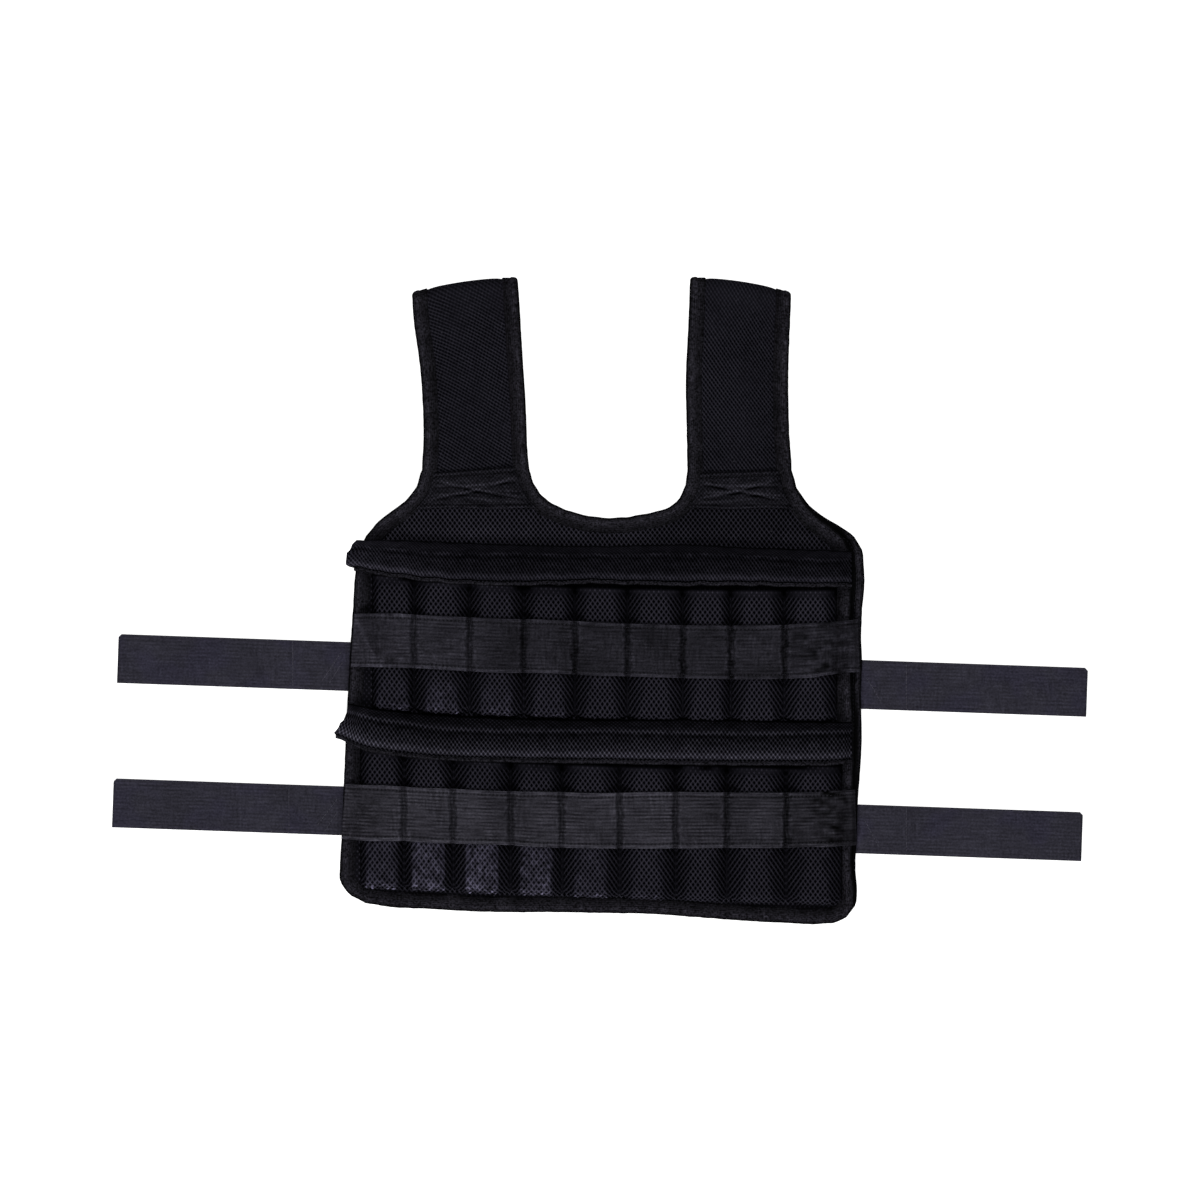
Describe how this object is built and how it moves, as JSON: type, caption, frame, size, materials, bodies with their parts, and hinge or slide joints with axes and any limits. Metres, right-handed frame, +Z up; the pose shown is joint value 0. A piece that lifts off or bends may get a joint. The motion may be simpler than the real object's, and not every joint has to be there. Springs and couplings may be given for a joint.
{
  "type": "weighted vest",
  "caption": "Padded air-mesh weighted vest lying flat, with padded shoulder straps, pocketed steel weight bars, cover flaps, elastic bands and webbing side straps.",
  "frame": {"origin": "on the floor, under the middle of the vest as it lies", "axes": "+X across the vest to the right side strap's end, +Y from the hem to the shoulders, +Z up from the floor"},
  "size_m": [0.8191, 0.5434, 0.033],
  "materials": {
    "air_mesh": "black knitted air mesh with open diamond holes, matt",
    "binding_tape": "black woven binding tape, matt",
    "elastic_band": "black ribbed elastic, slight sheen",
    "webbing": "black woven webbing, slight sheen",
    "bar_steel": "plain zinc-grey steel"
  },
  "bodies": {
    "root": {"front_panel": "air_mesh", "back_panel": "air_mesh", "upper_pockets": "air_mesh", "lower_pockets": "air_mesh", "upper_flap": "air_mesh", "lower_flap": "air_mesh", "shoulder_strap_left": "air_mesh", "shoulder_strap_right": "air_mesh", "edge_binding": "binding_tape", "neck_binding": "binding_tape", "upper_band": "elastic_band", "lower_band": "elastic_band", "side_strap_upper": "webbing", "side_strap_lower": "webbing", "upper_bar_1": "bar_steel", "upper_bar_2": "bar_steel", "upper_bar_3": "bar_steel", "upper_bar_4": "bar_steel", "upper_bar_5": "bar_steel", "upper_bar_6": "bar_steel", "upper_bar_7": "bar_steel", "upper_bar_8": "bar_steel", "upper_bar_9": "bar_steel", "lower_bar_1": "bar_steel", "lower_bar_2": "bar_steel", "lower_bar_3": "bar_steel", "lower_bar_4": "bar_steel", "lower_bar_5": "bar_steel", "lower_bar_6": "bar_steel", "lower_bar_7": "bar_steel", "lower_bar_8": "bar_steel", "lower_bar_9": "bar_steel"}
  },
  "joints": []
}
